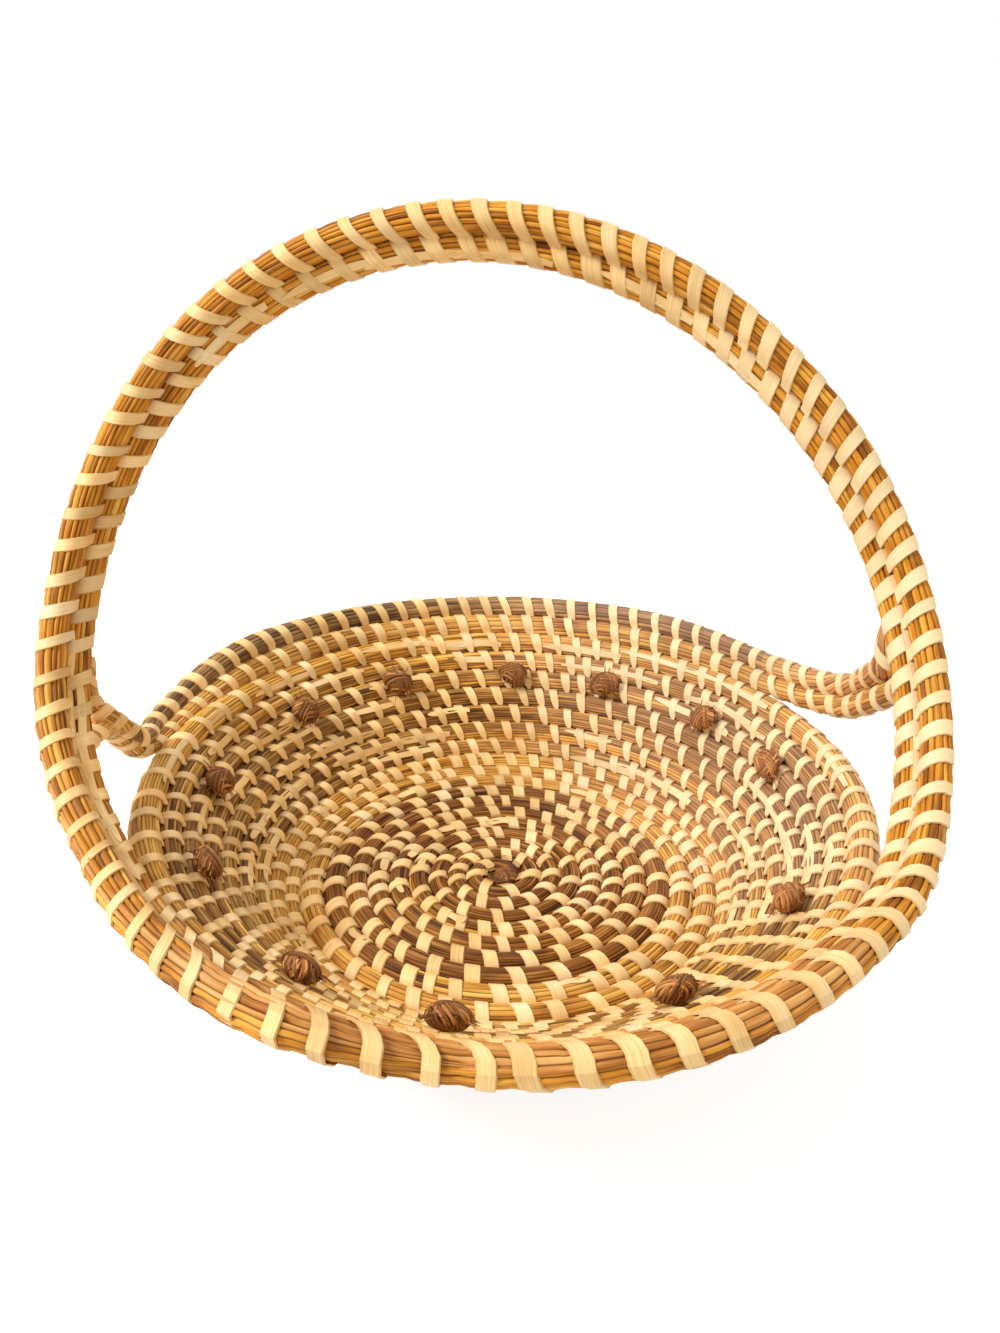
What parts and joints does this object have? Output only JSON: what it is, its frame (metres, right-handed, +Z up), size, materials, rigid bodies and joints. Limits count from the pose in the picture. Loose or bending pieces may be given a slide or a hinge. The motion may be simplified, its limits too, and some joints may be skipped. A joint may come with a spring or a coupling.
{
  "type": "coiled basket with a handle",
  "caption": "Shallow round basket of one stitched bundle coiled flat, up a flaring wall and over as a leaning arched handle, with needle knots on the wall.",
  "frame": {"origin": "on the flat the basket rests on, under the knot that starts the spiral", "axes": "+Z up, -Y towards the front where the handle's two bundles run along the rim, +X to the right seen from the front"},
  "size_m": [0.2877, 0.2966, 0.2393],
  "materials": {
    "brown_bundle": "dark brown pine needle bundle, matt with a faint sheen",
    "golden_bundle": "golden dried sweetgrass bundle, satin",
    "weathered_bundle": "grey-brown dried grass and rush bundle, matt",
    "handle_bundle": "orange-brown dried rush bundle, satin",
    "dark_rim_bundle": "dark brown pine needle bundle, matt",
    "pine_needle_knot": "tied pine needles, reddish brown",
    "palmetto_strip": "pale cream palmetto leaf strip, satin"
  },
  "bodies": {
    "root": {"base_coil_brown": "brown_bundle", "base_coil_gold": "golden_bundle", "corner_coil_gold": "golden_bundle", "wall_coil_lower": "weathered_bundle", "wall_coil_knot_row": "weathered_bundle", "wall_coil_upper": "weathered_bundle", "wall_coil_gold": "golden_bundle", "handle_coil_inner": "handle_bundle", "handle_coil_outer": "handle_bundle", "back_strand_lower": "golden_bundle", "back_strand_upper": "dark_rim_bundle", "pine_needle_knot_01": "pine_needle_knot", "pine_needle_knot_02": "pine_needle_knot", "pine_needle_knot_03": "pine_needle_knot", "pine_needle_knot_04": "pine_needle_knot", "pine_needle_knot_05": "pine_needle_knot", "pine_needle_knot_06": "pine_needle_knot", "pine_needle_knot_07": "pine_needle_knot", "pine_needle_knot_08": "pine_needle_knot", "pine_needle_knot_09": "pine_needle_knot", "pine_needle_knot_10": "pine_needle_knot", "pine_needle_knot_11": "pine_needle_knot", "pine_needle_knot_12": "pine_needle_knot", "start_knot": "pine_needle_knot"}
  },
  "joints": []
}
